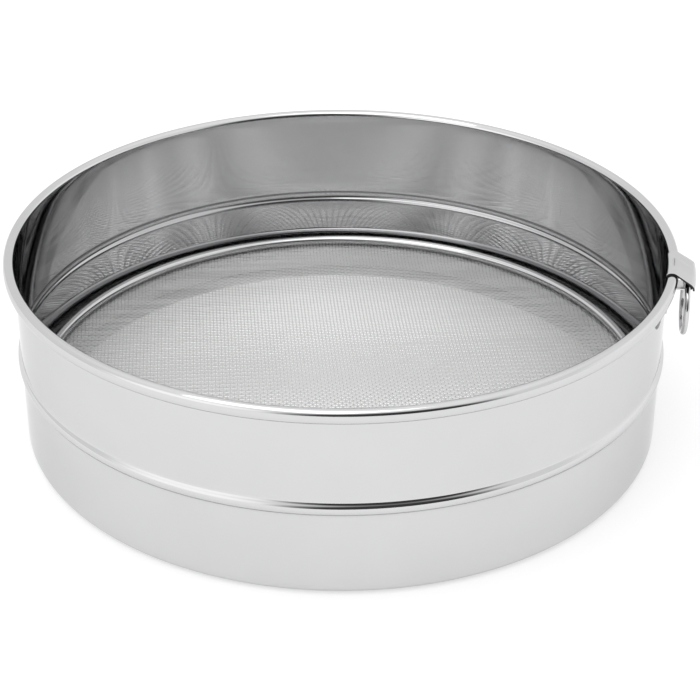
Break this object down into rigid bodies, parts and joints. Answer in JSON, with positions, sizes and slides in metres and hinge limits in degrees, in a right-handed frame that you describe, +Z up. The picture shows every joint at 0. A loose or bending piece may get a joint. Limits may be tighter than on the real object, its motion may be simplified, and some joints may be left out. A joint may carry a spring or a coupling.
{
  "type": "soil sieve",
  "caption": "Round polished steel garden sieve: drum with rolled rim and bead, drop-in woven wire screen, and a strap with a hanging ring.",
  "frame": {"origin": "on the drum's axis, in the plane that the drum stands on", "axes": "+Z up along the drum's axis, towards its open mouth; +X towards the side with the hanger, which stands 10.2 degrees from +X towards -Y"},
  "size_m": [0.3067, 0.3, 0.0903],
  "materials": {
    "drum_steel": "polished",
    "frame_steel": "satin",
    "mesh_steel": "satin",
    "wire_steel": "polished",
    "strap_steel": "polished"
  },
  "bodies": {
    "drum": {"drum_shell": "drum_steel", "hanger_strap": "strap_steel"},
    "screen": {"screen_frame": "frame_steel", "warp_wires": "mesh_steel", "weft_wires": "mesh_steel", "clamp_ring": "wire_steel"},
    "ring": {"hanging_ring": "wire_steel"}
  },
  "joints": [
    {"name": "screen_lift", "type": "slide", "parent": "drum", "child": "screen", "axis": [0, 0, 1], "range_m": [0, 0.12]},
    {"name": "ring_swing", "type": "hinge", "parent": "drum", "child": "ring", "pos_m": [0.15127, -0.02722, 0.08234], "axis": [-0.108, -0.9942, 0], "range_deg": [-14, 58]}
  ]
}
